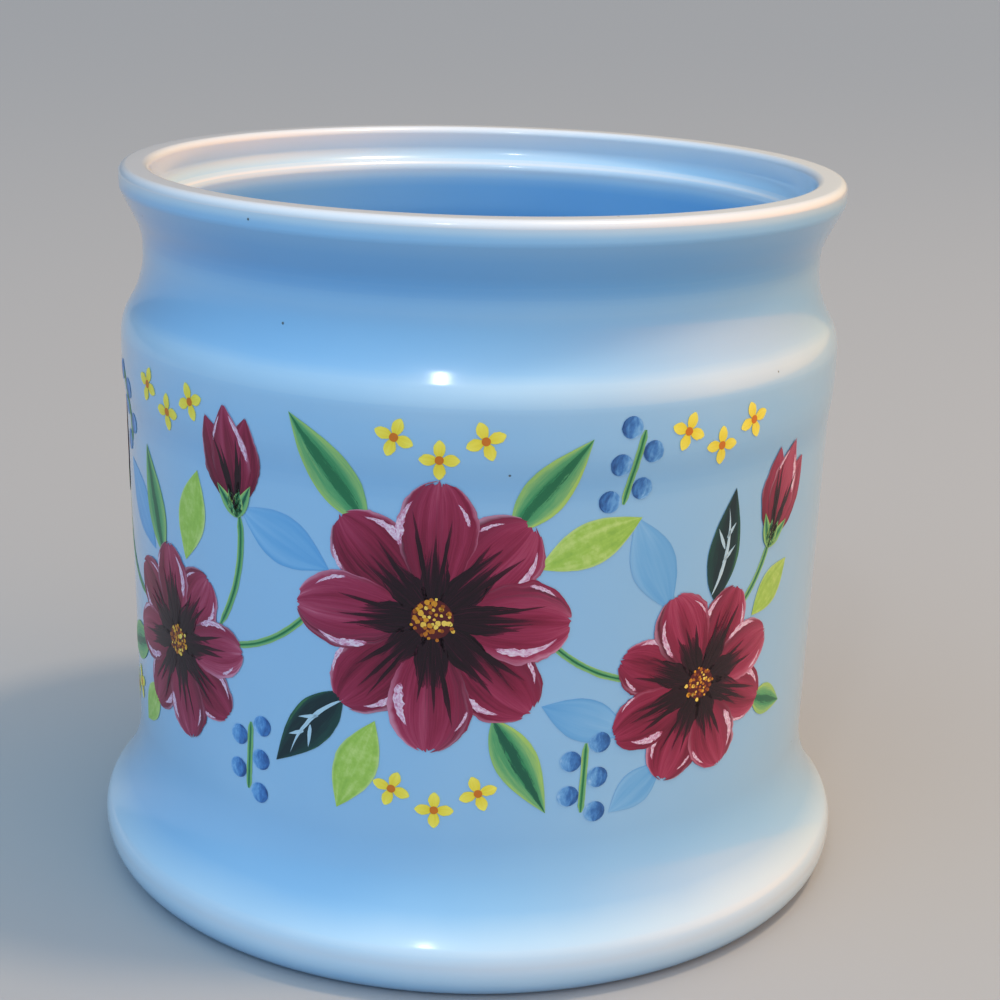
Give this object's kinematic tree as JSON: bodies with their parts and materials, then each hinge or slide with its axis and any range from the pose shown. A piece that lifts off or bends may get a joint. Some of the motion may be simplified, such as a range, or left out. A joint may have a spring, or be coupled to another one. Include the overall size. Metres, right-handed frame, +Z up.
{
  "type": "garlic keeper",
  "caption": "Round ceramic keeper jar, open at the top: flared lip with a lid ledge, waisted neck, shoulder band, printed side wall and a flared foot with a recessed base.",
  "frame": {"origin": "centre of the foot, on the plane of the table", "axes": "+Z up along the jar's axis and out of its mouth; -Y is the front, which carries the print, and the bare side is towards +X and +Y"},
  "size_m": [0.1308, 0.1308, 0.1194],
  "materials": {
    "sky_blue_glaze": "glossy pale blue glaze that breaks to white at its edges",
    "crimson_enamel": "fired-on crimson enamel with pale brushed streaks",
    "plum_enamel": "fired-on dark plum enamel",
    "gold_enamel": "fired-on golden yellow enamel, dotted",
    "green_enamel": "fired-on green enamel, brushed from light to dark",
    "lime_enamel": "fired-on lime enamel, brushed",
    "sky_enamel": "fired-on translucent blue enamel",
    "blue_enamel": "fired-on mid blue enamel",
    "yellow_enamel": "fired-on bright yellow enamel"
  },
  "bodies": {
    "root": {"jar": "sky_blue_glaze", "blossom_petals": "crimson_enamel", "blossom_hearts": "plum_enamel", "blossom_stamens": "gold_enamel", "green_leaves": "green_enamel", "lime_leaves": "lime_enamel", "blue_leaves": "sky_enamel", "blue_berries": "blue_enamel", "yellow_stars": "yellow_enamel"}
  },
  "joints": []
}
